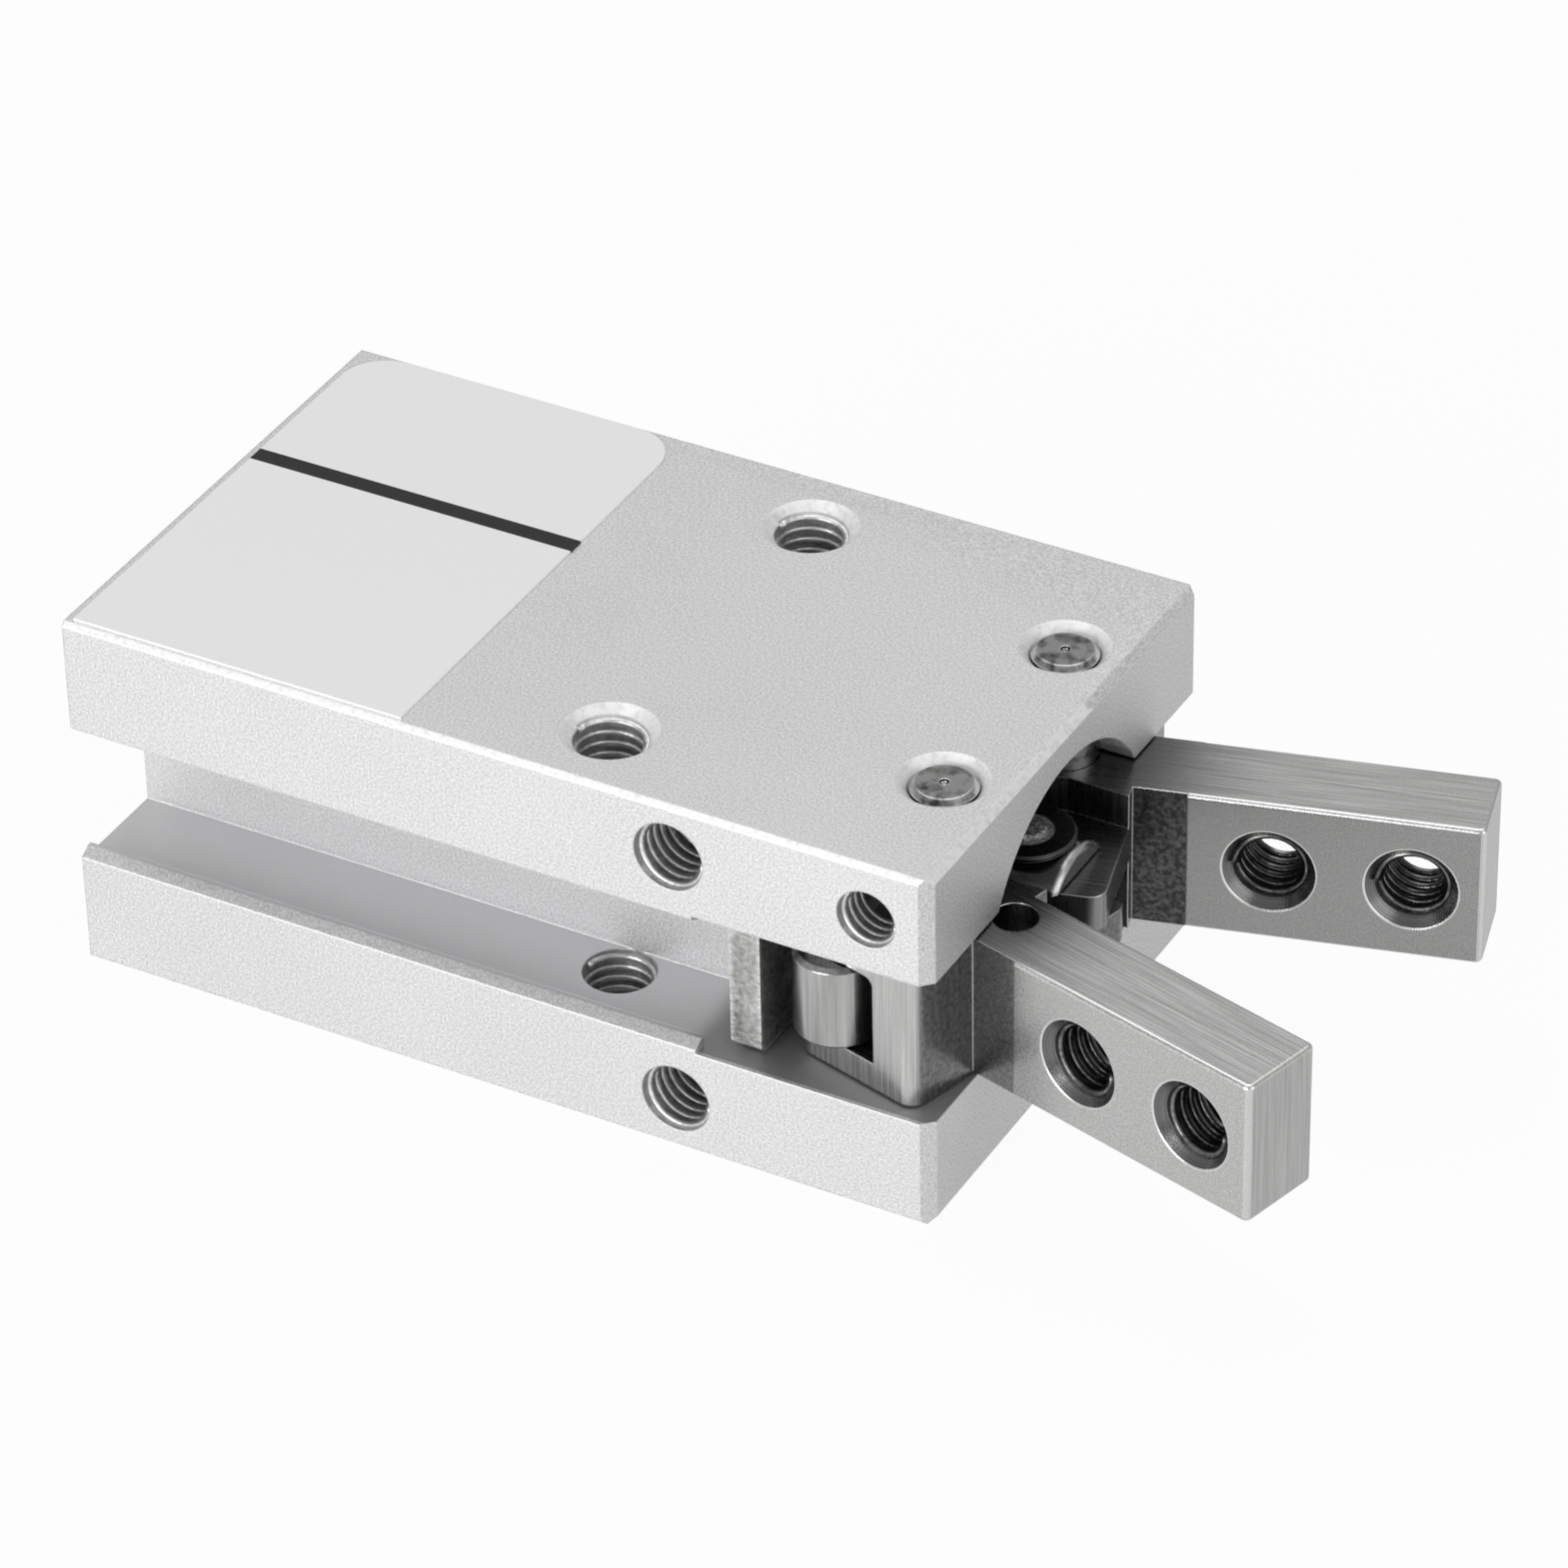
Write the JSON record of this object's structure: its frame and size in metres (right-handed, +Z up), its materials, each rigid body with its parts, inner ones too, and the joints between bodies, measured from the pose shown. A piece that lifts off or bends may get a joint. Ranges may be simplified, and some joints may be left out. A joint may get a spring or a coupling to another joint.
{
  "type": "angular pneumatic gripper",
  "caption": "Compact angular air gripper: aluminium body with a sensor channel, and slim steel fingers that a forked piston rod swings about upright lever shafts.",
  "frame": {"origin": "on the piston axis, in the plane of the rear mounting face", "axes": "+X along the piston axis towards the fingers, +Y to the left finger and the air ports, +Z up through the label"},
  "size_m": [0.0529, 0.023, 0.0165],
  "materials": {
    "body_anodised": "fine bead-blasted, clear anodised",
    "label_film": "matt white film with a black stripe",
    "cap_aluminium": "turned",
    "seal_rubber": "smooth nitrile rubber",
    "bumper_rubber": "smooth urethane",
    "spring_steel": "oiled spring steel",
    "guide_bronze": "turned bearing bronze",
    "shaft_steel": "ground hardened steel",
    "pin_steel": "hardened, rough ends",
    "black_steel": "black oxide",
    "rod_steel": "ground and polished",
    "sintered_steel": "rough as sintered",
    "finger_steel": "stainless steel, ground faces and milled root",
    "bonded_magnet": "bonded ferrite"
  },
  "bodies": {
    "body": {"body": "body_anodised", "label": "label_film", "rear_cap": "cap_aluminium", "rear_cap_seal": "seal_rubber", "retaining_ring": "spring_steel", "rear_bumper": "bumper_rubber", "front_bumper": "bumper_rubber", "rod_guide": "guide_bronze", "rod_guide_seal": "seal_rubber", "rod_seal": "seal_rubber", "lever_shaft_left": "shaft_steel", "lever_shaft_right": "shaft_steel", "set_screw_left": "black_steel", "set_screw_right": "black_steel"},
    "piston_group": {"piston": "rod_steel", "piston_seal": "seal_rubber", "magnet_ring": "bonded_magnet", "crosshead": "sintered_steel", "center_pusher": "rod_steel", "pusher_pin": "pin_steel", "pin_collar_upper": "black_steel", "pin_collar_lower": "black_steel"},
    "finger_left_group": {"finger_left": "finger_steel", "roller_pin_left": "pin_steel"},
    "finger_right_group": {"finger_right": "finger_steel", "roller_pin_right": "pin_steel"},
    "roller_left_group": {"side_roller_left": "shaft_steel"},
    "roller_right_group": {"side_roller_right": "shaft_steel"}
  },
  "joints": [
    {"name": "piston_slide", "type": "slide", "parent": "body", "child": "piston_group", "axis": [1, 0, 0], "range_m": [-0.0018, 0]},
    {"name": "finger_left_swing", "type": "hinge", "parent": "body", "child": "finger_left_group", "pos_m": [0.03588, 0.0051, 0], "axis": [0, 0, 1], "range_deg": [-20, 0]},
    {"name": "finger_right_swing", "type": "hinge", "parent": "body", "child": "finger_right_group", "pos_m": [0.03588, -0.0051, 0], "axis": [0, 0, 1], "range_deg": [0, 20]},
    {"name": "roller_left_spin", "type": "hinge", "parent": "finger_left_group", "child": "roller_left_group", "pos_m": [0.03316, 0.00881, 0], "axis": [0, 0, 1], "continuous": true},
    {"name": "roller_right_spin", "type": "hinge", "parent": "finger_right_group", "child": "roller_right_group", "pos_m": [0.03316, -0.00881, 0], "axis": [0, 0, 1], "continuous": true}
  ],
  "couplings": [
    {"joint": "finger_left_swing", "follows": "piston_slide", "rad_per_m": 193.85},
    {"joint": "finger_right_swing", "follows": "piston_slide", "rad_per_m": -193.85}
  ]
}
